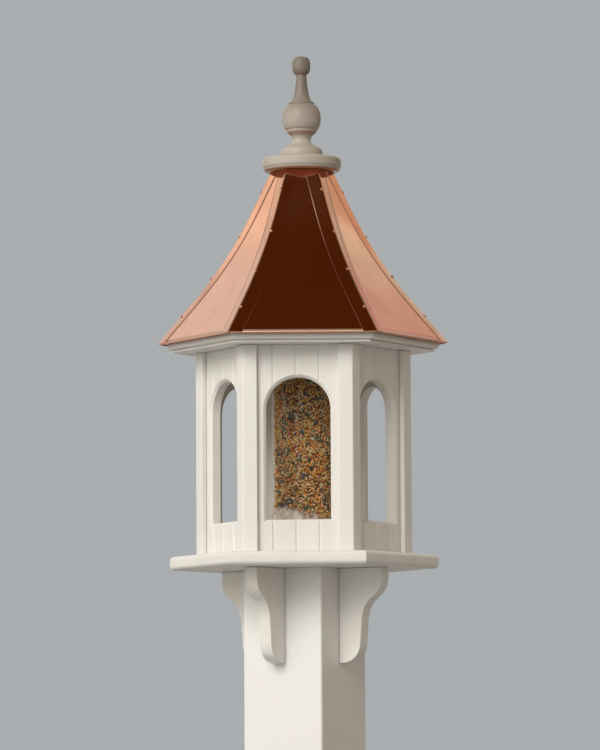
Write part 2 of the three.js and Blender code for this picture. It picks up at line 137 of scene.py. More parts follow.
class Shader:
    """A material's node tree with its Principled shader, and short ways to add nodes."""

    def __init__(self, name, **constants):
        self.material = bpy.data.materials.new(name)
        self.material.use_nodes = True
        self.tree = self.material.node_tree
        self.tree.nodes.clear()
        self.output = self.tree.nodes.new("ShaderNodeOutputMaterial")
        self.surface = self.tree.nodes.new("ShaderNodeBsdfPrincipled")
        self.tree.links.new(self.surface.outputs[0], self.output.inputs["Surface"])
        self.set(**constants)

    def set(self, **sockets):
        """Sets or links the Principled shader's sockets, named with _ for spaces."""
        for name, value in sockets.items():
            self.feed(self.surface.inputs[name.replace("_", " ")], value)

    def feed(self, socket, value):
        if isinstance(value, bpy.types.NodeSocket):
            self.tree.links.new(value, socket)
        elif isinstance(value, tuple) and len(value) == 3 and socket.type == "RGBA":
            socket.default_value = (*value, 1)
        else:
            socket.default_value = value

    def node(self, kind, inputs=(), **settings):
        made = self.tree.nodes.new("ShaderNode" + kind)
        for name, value in settings.items():
            setattr(made, name, value)
        for key, value in dict(inputs).items():
            self.feed(made.inputs[key], value)
        return made

    def place(self, stretch=(1, 1, 1)):
        """The piece's own coordinates in metres, stretched by a factor along each axis."""
        coordinates = self.node("TexCoord").outputs["Object"]
        return self.node("Mapping", {"Vector": coordinates, "Scale": stretch}).outputs[0]

    def noise(self, scale, detail=3.0, stretch=(1, 1, 1), rough=0.55):
        inputs = {"Vector": self.place(stretch), "Scale": scale, "Detail": detail, "Roughness": rough}
        return self.node("TexNoise", inputs).outputs[0]

    def ramp(self, factor, *stops):
        """Colours or greys at places from 0 to 1."""
        made = self.node("ValToRGB", {"Fac": factor})
        elements = made.color_ramp.elements
        while len(elements) < len(stops):
            elements.new(0.5)
        for element, (place, colour) in zip(elements, stops):
            element.position = place
            element.color = (*colour, 1) if isinstance(colour, tuple) else (colour,) * 3 + (1,)
        return made.outputs["Color"]

    def between(self, factor, low, high):
        """A number that runs from low to high as factor runs from 0 to 1."""
        inputs = {"Value": factor, "To Min": low, "To Max": high}
        return self.node("MapRange", inputs).outputs[0]

    def smooth(self, value, low, high):
        """0 below low, 1 above high, and a smooth step between; high may be the lower one."""
        inputs = {"Value": value, "From Min": low, "From Max": high}
        return self.node("MapRange", inputs, interpolation_type="SMOOTHSTEP").outputs[0]

    def maths(self, operation, a, b=0.0):
        return self.node("Math", {0: a, 1: b}, operation=operation).outputs[0]

    def mix(self, factor, a, b, blend="MIX"):
        made = self.node("Mix", data_type="RGBA", blend_type=blend)
        for socket, value in zip((made.inputs[0], made.inputs[6], made.inputs[7]), (factor, a, b)):
            self.feed(socket, value)
        return made.outputs[2]

    def bump(self, height, distance, strength=1.0, normal=None):
        inputs = {"Height": height, "Distance": distance, "Strength": strength}
        if normal is not None:
            inputs["Normal"] = normal
        return self.node("Bump", inputs).outputs[0]

    def height(self):
        """How far above the tray's top a point lies."""
        split = self.node("SeparateXYZ", {0: self.node("TexCoord").outputs["Object"]})
        return self.maths("SUBTRACT", split.outputs["Z"], TRAY_TOP)


# ---- Materials ------------------------------------------------------------------------


def painted_board():
    """Cellular PVC board with a satin coat: a roller's stipple, rain streaks, faint dust."""
    s = Shader("painted_board", IOR=1.47)
    streaks = s.smooth(s.noise(26, 4, (1, 1, 0.12)), 0.45, 0.75)
    dust = s.smooth(s.noise(9, 5), 0.42, 0.72)
    clean = s.mix(s.noise(4, 2), (0.80, 0.785, 0.755), (0.77, 0.753, 0.72))
    streaked = s.mix(s.maths("MULTIPLY", streaks, 0.22), clean, (0.60, 0.56, 0.48))
    specks = s.smooth(s.noise(1400, 2), 0.70, 0.78)
    dusted = s.mix(s.maths("MULTIPLY", dust, 0.14), streaked, (0.66, 0.60, 0.50))
    s.set(Base_Color=s.mix(s.maths("MULTIPLY", specks, 0.30), dusted, (0.42, 0.36, 0.28)))
    s.set(Roughness=s.between(s.noise(60, 4), 0.34, 0.52))
    stipple = s.bump(s.noise(1100, 2), 0.00006, 0.5)
    s.set(Normal=s.bump(s.noise(45, 2, (1, 1, 0.25)), 0.0004, 0.35, stipple))
    return s.material


def turned_resin():
    """The finial and its base: duller than the boards, greyer to the top with painted shade, faintly
    ringed.

    Downward faces carry painted bounce light, tinted by the copper roof below.
    """
    s = Shader("turned_resin", IOR=1.46)
    rings = s.noise(1200, 2, (0.02, 0.02, 1))
    bloom = s.smooth(s.noise(60, 5), 0.40, 0.72)
    foot, tip = (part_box("finial")[i].z - TRAY_TOP for i in (0, 1))
    # Painted shade: the resin darkens with height towards the knob.
    painted_shade_to_top = s.smooth(s.height(), foot + 0.020, tip - 0.030)
    clean = s.mix(painted_shade_to_top, (0.445, 0.40, 0.35), (0.205, 0.175, 0.145))
    marked = s.mix(painted_shade_to_top, (0.41, 0.36, 0.31), (0.19, 0.155, 0.125))
    mottle = s.maths("MULTIPLY", s.maths("ADD", bloom, s.noise(25, 3)), 0.35)
    # Painted bounce light: faces turned down take the copper roof's colour.
    facing = s.node("SeparateXYZ", {0: s.node("NewGeometry").outputs["Normal"]}).outputs["Z"]
    painted_copper_bounce = s.smooth(facing, -0.6, -0.95)
    s.set(Base_Color=s.mix(painted_copper_bounce, s.mix(mottle, clean, marked), (0.42, 0.17, 0.08)))
    s.set(Roughness=s.between(s.noise(90, 4), 0.24, 0.40))
    s.set(Normal=s.bump(rings, 0.0001, 0.35, s.bump(s.noise(700, 3), 0.00008, 0.4)))
    return s.material


def vinyl_sleeve():
    """Extruded vinyl: smooth, with faint die lines along its length and a little splash dirt."""
    s = Shader("vinyl_sleeve", IOR=1.5)
    lines = s.noise(420, 2, (1, 1, 0.004))
    smudge = s.smooth(s.noise(7, 5, (1, 1, 0.5)), 0.48, 0.75)
    splash = s.smooth(s.height(), 0.30 - TRAY_TOP, 0.02 - TRAY_TOP)
    splash = s.maths("MULTIPLY", splash, s.smooth(s.noise(90, 5), 0.40, 0.65))
    clean = s.mix(lines, (0.81, 0.80, 0.78), (0.79, 0.777, 0.752))
    smudged = s.mix(s.maths("MULTIPLY", smudge, 0.16), clean, (0.68, 0.63, 0.54))
    s.set(Base_Color=s.mix(s.maths("MULTIPLY", splash, 0.35), smudged, (0.38, 0.31, 0.22)))
    s.set(Roughness=s.between(s.noise(70, 3, (1, 1, 0.2)), 0.26, 0.42))
    s.set(Normal=s.bump(lines, 0.00012, 0.5, s.bump(s.noise(14, 2), 0.0008, 0.4)))
    return s.material


def copper_sheet():
    """New sheet copper: rolled grain, finger smudges, warm tarnish and a slight waviness."""
    s = Shader("copper_sheet", Metallic=1.0)
    tarnish = s.smooth(s.noise(11, 6), 0.45, 0.80)
    smudge = s.smooth(s.noise(34, 5, (1, 1, 0.6)), 0.50, 0.74)
    grain = s.noise(900, 2, (1, 1, 0.03))
    bright = s.mix(s.noise(5, 3), (0.90, 0.535, 0.395), (0.86, 0.485, 0.345))
    warmed = s.mix(s.maths("MULTIPLY", tarnish, 0.45), bright, (0.70, 0.33, 0.20))
    s.set(Base_Color=s.mix(s.maths("MULTIPLY", smudge, 0.25), warmed, (0.74, 0.40, 0.27)))
    polish = s.between(s.noise(18, 5), 0.09, 0.15)
    s.set(Roughness=s.maths("ADD", polish, s.maths("MULTIPLY", smudge, 0.03)))
    s.set(Normal=s.bump(grain, 0.00002, 0.4, s.bump(s.noise(16, 2), 0.0005, 0.35)))
    return s.material


def copper_nail():
    """Copper nail heads, yellower than the sheet and marked by the hammer."""
    s = Shader("copper_nail", Metallic=1.0)
    dints = s.noise(700, 3)
    s.set(Base_Color=s.mix(dints, (0.93, 0.66, 0.42), (0.78, 0.46, 0.27)))
    s.set(Roughness=s.between(dints, 0.18, 0.36))
    s.set(Normal=s.bump(dints, 0.0002, 0.6))
    return s.material


def clear_tube():
    """Clear plastic: it mirrors at a glance, has scuffs and dried drips, and seed dust at its foot."""
    s = Shader("clear_tube")
    clear = s.node("BsdfTransparent", {"Color": (0.975, 0.985, 0.98)})
    scuffs = s.noise(300, 4, (1, 1, 0.08))
    gloss = s.node("BsdfGlossy", {"Roughness": s.between(scuffs, 0.02, 0.10)})
    grazing = s.node("LayerWeight", {"Blend": 0.5}).outputs["Facing"]
    edge = s.between(s.maths("POWER", grazing, 5.0), 0.010, 0.30)
    pane = s.node("MixShader", {0: edge, 1: clear.outputs[0], 2: gloss.outputs[0]})

    split = s.node("SeparateXYZ", {0: s.node("TexCoord").outputs["Object"]})
    above = s.maths("SUBTRACT", split.outputs["Z"], TRAY_TOP)
    ragged = s.maths("MULTIPLY", s.maths("SUBTRACT", s.noise(90, 4), 0.5), 0.026)
    line = s.maths("ADD", s.maths("MULTIPLY", split.outputs["X"], -0.27), ragged)
    powder = s.smooth(s.maths("SUBTRACT", above, line), 0.051, 0.041)
    haze = s.maths("ADD", s.maths("MULTIPLY", powder, 0.86), 0.004)
    for x, y, low, high, width in DRIPS:
        across = s.maths("ABSOLUTE", s.maths("SUBTRACT", split.outputs["X"], x))
        near = s.smooth(s.maths("ADD", across, s.maths("MULTIPLY", ragged, 0.05)), width, width * 0.3)
        front = s.smooth(s.maths("ABSOLUTE", s.maths("SUBTRACT", split.outputs["Y"], y)), 0.010, 0.005)
        foot, head = s.smooth(above, low, low + 0.006), s.smooth(above, high, high - 0.008)
        spell = s.maths("MULTIPLY", foot, head)
        drip = s.maths("MULTIPLY", s.maths("MULTIPLY", near, front), s.maths("MULTIPLY", spell, 0.42))
        haze = s.maths("ADD", haze, drip)
    dust = s.ramp(s.noise(210, 4), (0.35, (0.46, 0.37, 0.31)), (0.55, (0.86, 0.77, 0.68)))
    s.set(Base_Color=dust, Roughness=s.between(scuffs, 0.6, 0.9))
    whole = s.node("MixShader", {0: haze, 1: pane.outputs[0], 2: s.surface.outputs[0]})
    s.tree.links.new(whole.outputs[0], s.output.inputs["Surface"])
    return s.material


def husk(name, *tones, roughness=(0.45, 0.7)):
    """Seed coats: each seed takes its own tone from the list, with fine mottling."""
    s = Shader(name, IOR=1.45)
    own = s.node("NewGeometry").outputs["Random Per Island"]
    last = max(len(tones) - 1, 1)
    tone = s.ramp(own, *[(i / last, t) for i, t in enumerate(tones)])
    mottle = s.noise(1600, 3)
    shade = s.ramp(mottle, (0.35, 0.58), (0.65, 1.0))
    s.set(Base_Color=s.mix(0.8, tone, shade, "MULTIPLY"))
    s.set(Roughness=s.between(mottle, *roughness), Normal=s.bump(mottle, 0.0001, 0.4))
    s.set(Specular_IOR_Level=0.25)
    return s.material


def sunflower_husk():
    """Dark hulls with grey stripes along each seed, laid by a fine stretched noise."""
    s = Shader("sunflower_husk", IOR=1.45)
    own = s.node("NewGeometry").outputs["Random Per Island"]
    stripes = s.smooth(s.noise(700, 2), 0.52, 0.62)
    tones = (0.0, (0.030, 0.030, 0.034)), (0.6, (0.055, 0.055, 0.052)), (1.0, (0.03, 0.07, 0.045))
    dark = s.ramp(own, *tones)
    s.set(Base_Color=s.mix(s.maths("MULTIPLY", stripes, 0.22), dark, (0.26, 0.23, 0.20)))
    s.set(Roughness=s.between(stripes, 0.35, 0.6), Normal=s.bump(stripes, 0.0001, 0.4))
    return s.material


def seed_mass():
    """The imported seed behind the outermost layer, in shade."""
    s = Shader("seed_mass", Roughness=0.85)
    cells = s.node("TexVoronoi", {"Vector": s.place(), "Scale": 380.0})
    own = s.node("SeparateColor", {0: cells.outputs["Color"]}).outputs[0]
    tone = s.ramp(own, (0.0, (0.20, 0.085, 0.03)), (0.5, (0.40, 0.20, 0.07)), (1.0, (0.56, 0.34, 0.14)))
    # Painted shade: each cell darkens towards its edge, as between packed seeds.
    painted_crevice_shade = s.ramp(cells.outputs["Distance"], (0.0, 1.0), (0.75, 0.25))
    s.set(Base_Color=s.mix(1.0, tone, painted_crevice_shade, "MULTIPLY"))
    s.set(Normal=s.bump(cells.outputs["Distance"], 0.002, -0.8))
    return s.material


def rough_timber():
    """Sawn softwood: growth bands and fibres along Z."""
    s = Shader("rough_timber", Roughness=0.8)
    bands = s.node(
        "TexWave",
        {"Vector": s.place((1, 1, 0.06)), "Scale": 42.0, "Distortion": 5.0, "Detail": 3.0},
        wave_type="RINGS",
        rings_direction="Z",
    ).outputs[0]
    fibre = s.noise(500, 4, (1, 1, 0.05))
    wood = s.mix(bands, (0.50, 0.35, 0.19), (0.34, 0.21, 0.10))
    s.set(Base_Color=s.mix(s.maths("MULTIPLY", fibre, 0.5), wood, (0.24, 0.15, 0.08)))
    s.set(Roughness=s.between(fibre, 0.65, 0.9), Normal=s.bump(fibre, 0.0006, 0.6))
    return s.material


def screw_steel():
    """Stainless screws with a turned grain and a little staining."""
    s = Shader("screw_steel", Metallic=1.0)
    grain = s.noise(1500, 3, (1, 1, 0.2))
    stain = s.smooth(s.noise(200, 4), 0.5, 0.75)
    s.set(Base_Color=s.mix(s.maths("MULTIPLY", stain, 0.4), (0.62, 0.62, 0.64), (0.40, 0.33, 0.26)))
    s.set(Roughness=s.between(grain, 0.22, 0.42), Normal=s.bump(grain, 0.00005, 0.5))
    return s.material


def pale_floor():
    s = Shader("pale_floor")
    s.set(Base_Color=s.mix(s.noise(3, 3), (0.46, 0.46, 0.455), (0.43, 0.43, 0.425)))
    s.set(Roughness=s.between(s.noise(20, 3), 0.75, 0.9))
    return s.material


BOARD = painted_board()
COPPER = copper_sheet()


# ---- Mesh helpers ---------------------------------------------------------------------


def finish_piece(name, mesh, material, body="feeder"):
    """Puts a mesh in the scene as a piece that rides on a body."""
    piece = bpy.data.objects.new(name, mesh)
    bpy.context.scene.collection.objects.link(piece)
    mesh.materials.clear()
    mesh.materials.append(material)
    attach(piece, body)
    return piece


def mesh_from(name, points, faces):
    mesh = bpy.data.meshes.new(name)
    mesh.from_pydata([tuple(p) for p in points], [], faces)
    mesh.update()
    return mesh


def shade(mesh, sharp_degrees):
    mesh.shade_smooth()
    mesh.set_sharp_from_angle(angle=math.radians(sharp_degrees))


def weigh_normals(piece):
    """Lets a piece's large flat faces stay flat where smooth edges meet them."""
    modifier = piece.modifiers.new("flat_faces", "WEIGHTED_NORMAL")
    modifier.keep_sharp = True
    modifier.weight = 80


def cleaned(node):
    """A CAD node's mesh with its split corners welded and its flat triangles merged."""
    made = bmesh.new()
    made.from_mesh(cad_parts[node].data)
    bmesh.ops.remove_doubles(made, verts=made.verts, dist=2e-6)
    bmesh.ops.dissolve_limit(
        made,
        angle_limit=math.radians(0.4),
        verts=made.verts,
        edges=made.edges,
        use_dissolve_boundaries=False,
    )
    return made


def round_edges(made, width, segments=2, sharper_than=30):
    """Rounds a board's arrises."""
    limit = math.radians(sharper_than)
    edges = [e for e in made.edges if len(e.link_faces) == 2 and e.calc_face_angle() > limit]
    bmesh.ops.bevel(
        made,
        geom=edges,
        offset=width,
        offset_type="OFFSET",
        segments=segments,
        profile=0.5,
        affect="EDGES",
        clamp_overlap=True,
    )


def board(node, name, arris=0.0, sharp=35, body="feeder", material=None):
    """A piece that stands for one CAD node: the same solid with softened arrises."""
    made = cleaned(node)
    if arris:
        round_edges(made, arris)
    mesh = bpy.data.meshes.new(name)
    made.to_mesh(mesh)
    made.free()
    shade(mesh, sharp)
    piece = finish_piece(name, mesh, material or BOARD, body)
    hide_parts(node)
    weigh_normals(piece)
    return piece


def turned_about_z(points, angle):
    turn = Matrix.Rotation(angle, 3, "Z")
    return [turn @ Vector(p) for p in points]


# ---- Boards ---------------------------------------------------------------------------


def build_boards():
    board("tray_board", "tray", arris=0.0008, sharp=32)
    for side in SIDES:
        board(f"wall_{side}", f"beaded_wall_{side}", arris=0.0007, sharp=30)
        board(f"corner_board_{side}", f"corner_trim_{side}", arris=0.0011)
    for side in ("front_left", "front_right", "back_right", "back_left"):
        board(f"bracket_{side}", f"corbel_{side}", arris=0.0010)
    board("post_sleeve", "vinyl_post", sharp=35, material=vinyl_sleeve())


def bezier(start, lean_out, lean_in, end, steps):
    """Points along a cubic curve, its start left out."""
    points = []
    for k in range(1, steps + 1):
        t = k / steps
        parts = ((1 - t) ** 3, 3 * t * (1 - t) ** 2, 3 * t * t * (1 - t), t**3)
        corners = (start, lean_out, lean_in, end)
        points.append(tuple(sum(w * c[i] for w, c in zip(parts, corners)) for i in (0, 1)))
    return points


def eave_outline(corner, hole):
    """The eave board's section as (radius, height, whether the radius is to a hexagon's corner).

    From the hole outwards it runs along the soffit, up a narrow fillet, into a quirk, round a
    bead and over the top, which the copper hides.
    """
    thick = (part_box("eave_board")[1].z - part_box("eave_board")[0].z) / MM
    edge = [(corner - 5.4, 0.0), (corner - 5.0, 0.35), (corner - 5.0, 1.35), (corner - 5.3, 1.65)]
    edge += [(corner - 6.9, 1.8), (corner - 7.2, 2.2), (corner - 6.9, 2.65)]
    edge += [(corner - 5.2, 2.8)]
    edge += bezier((corner - 5.2, 2.8), (corner - 2.2, 2.8), (corner, 4.4), (corner, 7.2), 9)
    edge += bezier((corner, 7.2), (corner, 9.4), (corner - 0.7, 10.8), (corner - 1.8, 11.6), 5)
    edge += [(corner - 2.3, 12.2), (corner - 2.3, thick - 1.4), (corner - 4.0, thick)]
    rim = [(hole, thick, False), (hole, 0.0, False)]
    return [(r, h, True) for r, h in edge] + rim


def build_eave_board():
    """The moulded board under the roof, with mitred corners towards the hips."""
    low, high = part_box("eave_board")
    corner = high.x / MM
    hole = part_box("seed_tube")[1].x / MM + 0.5
    outline = eave_outline(corner, hole)
    sides = 96
    points, faces = [], []
    for radius, height, hexagonal in outline:
        for k in range(sides):
            angle = 2 * math.pi * k / sides
            from_flat = (angle % SIXTH) - SIXTH / 2
            r = radius * FLAT / math.cos(from_flat) if hexagonal else radius
            points.append((r * MM * math.cos(angle), r * MM * math.sin(angle), low.z + height * MM))
    count = len(outline)
    for i in range(count):
        for k in range(sides):
            a, b = i * sides + k, i * sides + (k + 1) % sides
            c, d = ((i + 1) % count) * sides + (k + 1) % sides, ((i + 1) % count) * sides + k
            faces.append((a, b, c, d))
    mesh = mesh_from("eave_moulding", points, faces)
    shade(mesh, 38)
    piece = finish_piece("eave_moulding", mesh, BOARD)
    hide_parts("eave_board")


def finial_outline():
    """The turned finial from its foot to the top of its knob, as (radius, height) in millimetres."""
    outline = [(0, 0), (24.2, 0), (24.6, 0.4), (24.6, 5.2)]
    outline += bezier((24.6, 5.2), (24.5, 9.0), (22.6, 11.2), (19.2, 12.3), 9)
    outline += [(18.5, 12.6), (18.2, 13.1)]
    outline += bezier((18.2, 13.1), (13.8, 15.4), (10.5, 17.4), (10.5, 20.9), 9)
    outline += bezier((10.5, 20.9), (10.5, 23.6), (11.8, 25.8), (14.8, 27.6), 7)
    outline += [(15.6, 28.3), (15.4, 28.6)]
    outline += bezier((15.4, 28.6), (17.2, 29.3), (18.0, 30.8), (18.1, 32.0), 6)
    outline += [(18.0, 32.3)]
    outline += bezier((18.0, 32.3), (21.0, 34.4), (22.5, 39.4), (22.5, 45.3), 12)
    outline += bezier((22.5, 45.3), (22.5, 52.6), (20.4, 58.8), (15.6, 62.4), 13)
    outline += [(14.9, 62.7), (14.3, 62.9), (14.4, 63.2), (14.9, 63.7), (14.8, 64.5), (14.0, 65.0)]
    outline += [(12.9, 65.2), (12.3, 65.7)]
    outline += bezier((12.3, 65.7), (8.4, 71.5), (6.5, 84.0), (5.9, 96.8), 14)
    outline += bezier((5.9, 96.8), (8.6, 98.4), (10.5, 101.0), (10.5, 105.0), 8)
    outline += bezier((10.5, 105.0), (10.5, 106.6), (10.5, 108.2), (10.5, 109.8), 2)
    outline += bezier((10.5, 109.8), (10.5, 115.0), (8.4, 118.3), (4.0, 118.3), 9)
    return outline + [(0, 118.3)]


def base_outline():
    """The disc under the finial, with a fine quirk above its lower round."""
    outline = [(0, 0), (40.0, 0)]
    outline += bezier((40.0, 0), (42.6, 0), (44.4, 1.3), (44.9, 3.3), 6)
    outline += [(44.6, 3.6), (44.7, 3.9)]
    outline += bezier((44.7, 3.9), (45.4, 4.3), (45.8, 5.2), (45.8, 6.4), 5)
    outline += bezier((45.8, 6.4), (45.8, 8.2), (45.8, 9.9), (45.8, 11.6), 2)
    outline += bezier((45.8, 11.6), (45.8, 14.2), (44.0, 15.7), (41.2, 15.8), 7)
    return outline + [(0, 15.8)]


def turned_piece(name, outline, node, material, body, sides=112):
    """A lathe-turned piece standing where its CAD node's foot is."""
    points, faces = [], []
    place = Matrix.Translation((0, 0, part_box(node)[0].z))
    rings = [(r * MM, h * MM) for r, h in outline[1:]]
    add_turned(points, faces, rings, place, sides)
    mesh = mesh_from(name, points, faces)
    shade(mesh, 42)
    piece = finish_piece(name, mesh, material, body)
    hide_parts(node)
    weigh_normals(piece)


def build_cap():
    resin = turned_resin()
    turned_piece("turned_finial", finial_outline(), "finial", resin, "cap")
    turned_piece("finial_base", base_outline(), "cap_disc", resin, "cap")


def dress_hidden_nodes():
    """The unseen CAD nodes stay as they are, with a material of their own."""
    timber = rough_timber()
    steel = screw_steel()
    dressed = {"post_timber": timber, "cap_screw": steel, "cap_plug": BOARD, "roof_collar": BOARD}
    dressed["deflector_cone"] = BOARD
    dressed["seed_tube"] = clear_tube()
    dressed |= {f"roof_rib_{side}": timber for side in SIDES}
    dressed |= {f"tray_screw_{k}": steel for k in (1, 2, 3, 4)}
    for node, material in dressed.items():
        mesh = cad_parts[node].data
        mesh.materials.clear()
        mesh.materials.append(material)


# ---- Copper roof ----------------------------------------------------------------------

def roof_rows():
    """(distance out from the axis to a roof face, height) pairs up the copper, read off a CAD panel.

    Each row of a panel has its own half width, so the outermost point at each half width
    gives the row's place.
    """
    rows = {}
    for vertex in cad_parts["copper_panel_front"].data.vertices:
        key = round(abs(vertex.co.x), 5)
        if key not in rows or vertex.co.y < rows[key].y:
            rows[key] = vertex.co.copy()
    ordered = sorted(rows.values(), key=lambda co: co.z)
    return [(-co.y, co.z) for co in ordered]


class Slope:
    """A smooth curve through the roof's rows, from the eave up."""

    def __init__(self, rows):
        self.rows = rows

    def out(self, up):
        """Distance out to the face at a height, by cubic interpolation."""
        rows = self.rows
        last = len(rows) - 1
        i = max(1, next((k for k, row in enumerate(rows) if row[1] > up), last))
        (o1, u1), (o2, u2) = rows[i - 1], rows[i]
        before, after = self.tangent(i - 1), self.tangent(i)
        span = u2 - u1
        t = (up - u1) / span
        h = (2 * t**3 - 3 * t**2 + 1, t**3 - 2 * t**2 + t, 3 * t**2 - 2 * t**3, t**3 - t**2)
        return h[0] * o1 + h[1] * span * before + h[2] * o2 + h[3] * span * after

    def tangent(self, i):
        rows = self.rows
        low, high = rows[max(i - 1, 0)], rows[min(i + 1, len(rows) - 1)]
        return (high[0] - low[0]) / (high[1] - low[1])

    def normal(self, up):
        """Unit normal (out, up) of the face at a height."""
        step = 0.5 * MM
        low = max(up - step, self.rows[0][1])
        high = min(up + step, self.rows[-1][1])
        run = Vector((self.out(low) - self.out(high), high - low)).normalized()
        return run.y, run.x


ROWS = roof_rows()
EAVE = ROWS[1]
SLOPE = Slope(ROWS[1:])
TOP = ROWS[-1][1]


def heights(low, high, count):
    return [low + (high - low) * i / count for i in range(count + 1)]


def sheet_mesh(name, outer, inner, rows, columns):
    """A closed sheet from two grids of points, each with rows by columns."""
    points = outer + inner
    offset = len(outer)
    faces = []
    for r in range(rows - 1):
        for c in range(columns - 1):
            a = r * columns + c
            quad = (a, a + 1, a + 1 + columns, a + columns)
            faces.append(quad)
            faces.append(tuple(offset + v for v in reversed(quad)))
    rim = list(range(columns))
    rim += [r * columns + columns - 1 for r in range(1, rows)]
    rim += [(rows - 1) * columns + c for c in range(columns - 2, -1, -1)]
    rim += [r * columns for r in range(rows - 2, 0, -1)]
    for a, b in zip(rim, rim[1:] + rim[:1]):
        faces.append((b, a, offset + a, offset + b))
    return mesh_from(name, points, faces)


def panel_mesh(name, seed):
    """A panel facing -Y: it curves up from a folded hem and pillows a little between the hips."""
    ups = heights(EAVE[1], TOP - 0.2 * MM, ROOF_STEPS)
    columns = PANEL_COLUMNS
    profile = [(SLOPE.out(up), up, *SLOPE.normal(up)) for up in ups]
    out, up, no, nu = profile[0]
    hem = [
        (out + 0.35 * MM, up - HEM, 1.0, 0.0),
        (out + 0.55 * MM, up - HEM * 0.75, 1.0, 0.0),
        (out + 0.55 * MM, up - HEM * 0.3, 1.0, 0.1),
        (out + 0.35 * MM, up - HEM * 0.06, 0.9, 0.4),
    ]
    profile = hem + profile
    outer, inner = [], []
    for out, up, no, nu in profile:
        half = out * math.tan(SIXTH / 2) - SEAM
        for c in range(columns):
            across = 2 * c / (columns - 1) - 1
            x = across * half
            inside = (1 - across**2) * min(1.0, max(0.0, (up - EAVE[1]) / 0.03))
            ripple = RIPPLE * noise.noise(Vector((x * 14, up * 11, seed))) * inside
            outer.append((x, -out - ripple * no, up + ripple * nu))
            inner.append((x, -out - (ripple - SHEET) * no, up + (ripple - SHEET) * nu))
    return sheet_mesh(name, outer, inner, len(profile), columns)


def hip_point(leg, proud, out, up, no, nu):
    """A point on a hip whose corner is to -Y: a signed distance from it, and proud of the panel."""
    side = (leg > 0) - (leg < 0)
    radius = out / FLAT
    if side == 0:
        lift = proud / (1 - no**2 / 4)
        return (0, -radius - lift * no * FLAT, up + lift * nu)
    x = leg * FLAT + side * proud * no / 2
    return (x, -radius + abs(leg) / 2 - proud * no * FLAT, up + proud * nu)


def hip_cap_mesh(name, seed):
    """A folded cover strip: its ridge is rounded, its legs press down and have eased edges."""
    ups = heights(EAVE[1], TOP - 0.6 * MM, ROOF_STEPS)
    profile = [(SLOPE.out(up), up, *SLOPE.normal(up)) for up in ups]
    out, up, no, nu = profile[0]
    drop = 1.4 * MM
    slope = (SLOPE.out(up) - SLOPE.out(up + MM)) / MM
    profile.insert(0, (out + drop * slope, up - drop, no, nu))
    half = [0.045, 0.09, FOLD, 0.2, 0.4, 0.6, 0.8, 0.97, 1]
    fractions = [-f for f in reversed(half)] + [0] + half
    outer, inner = [], []
    for r, (out, up, no, nu) in enumerate(profile):
        for f in fractions:
            wave = 0.10 * MM * noise.noise(Vector((f * 1.3, up * 24, seed + 7.0)))
            lift = CAP_GAP + RIDGE_LIFT * (1 - abs(f)) + wave * (1 - f * f)
            round_off = FOLD_DROP * max(0.0, 1 - abs(f) / FOLD) ** 2
            leg = f * CAP_LEG
            eased = (0.20 - 0.15 * r / len(profile)) * MM if abs(f) == 1 else 0.0
            outer.append(hip_point(leg, lift + CAP_SHEET - round_off - eased, out, up, no, nu))
            inner.append(hip_point(leg, lift - round_off, out, up, no, nu))
    return sheet_mesh(name, outer, inner, len(profile), len(fractions))


def nail_profile():
    """A pan head on a short shank, as (radius, height) from the copper up."""
    head = [(1.55, 0.75), (1.75, 0.95), (1.7, 1.25), (1.3, 1.55), (0.6, 1.7), (0.0, 1.72)]
    return [(0.75 * MM, -0.8 * MM), (0.75 * MM, 0.75 * MM)] + [(r * MM, h * MM) for r, h in head]


def add_turned(points, faces, profile, place, sides=14):
    """Adds a solid of revolution, whose profile ends on the axis, to lists of points and faces."""
    start = len(points)
    rings = profile[:-1]
    for radius, height in rings:
        for k in range(sides):
            angle = 2 * math.pi * k / sides
            points.append(place @ Vector((radius * math.cos(angle), radius * math.sin(angle), height)))
    points.append(place @ Vector((0, 0, profile[-1][1])))
    tip = len(points) - 1
    for r in range(len(rings) - 1):
        for k in range(sides):
            a = start + r * sides + k
            b = start + r * sides + (k + 1) % sides
            faces.append((a, b, b + sides, a + sides))
    last = start + (len(rings) - 1) * sides
    for k in range(sides):
        faces.append((last + k, last + (k + 1) % sides, tip))
    faces.append(tuple(start + k for k in reversed(range(sides))))


def build_nails(corner, rng):
    """The four nails of one hip, each knocked in slightly askew."""
    points, faces = [], []
    for drop in NAIL_DROPS:
        up = TOP - drop + rng.uniform(-1.2, 1.2) * MM
        out = SLOPE.out(up)
        no, nu = SLOPE.normal(up)
        leg = rng.uniform(-1.3, 1.3) * MM
        spot = Vector(hip_point(leg, RIDGE_LIFT - 0.1 * MM, out, up, no, nu))
        aim = Vector((rng.uniform(-0.16, 0.16), -no * FLAT, nu + rng.uniform(-0.1, 0.1))).normalized()
        place = Matrix.Translation(spot) @ aim.to_track_quat("Z", "Y").to_matrix().to_4x4()
        add_turned(points, faces, nail_profile(), place)
    return turned_about_z(points, corner), faces


def build_roof():
    nail = copper_nail()
    rng = random.Random(4)
    for k, side in enumerate(SIDES):
        mesh = panel_mesh(f"copper_{side}", seed=k * 3.7)
        mesh.transform(Matrix.Rotation(k * SIXTH, 4, "Z"))
        shade(mesh, 40)
        panel = finish_piece(f"copper_{side}", mesh, COPPER)
        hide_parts(f"copper_panel_{side}")
        corner = (k + 0.5) * SIXTH
        mesh = hip_cap_mesh(f"hip_strip_{side}", seed=k * 5.1)
        mesh.transform(Matrix.Rotation(corner, 4, "Z"))
        shade(mesh, 60)
        strip = finish_piece(f"hip_strip_{side}", mesh, COPPER)
        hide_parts(f"hip_cap_{side}")
        points, faces = build_nails(corner, rng)
        mesh = mesh_from(f"hip_nails_{side}", points, faces)
        shade(mesh, 50)
        finish_piece(f"hip_nails_{side}", mesh, nail)


# ---- Seed -----------------------------------------------------------------------------

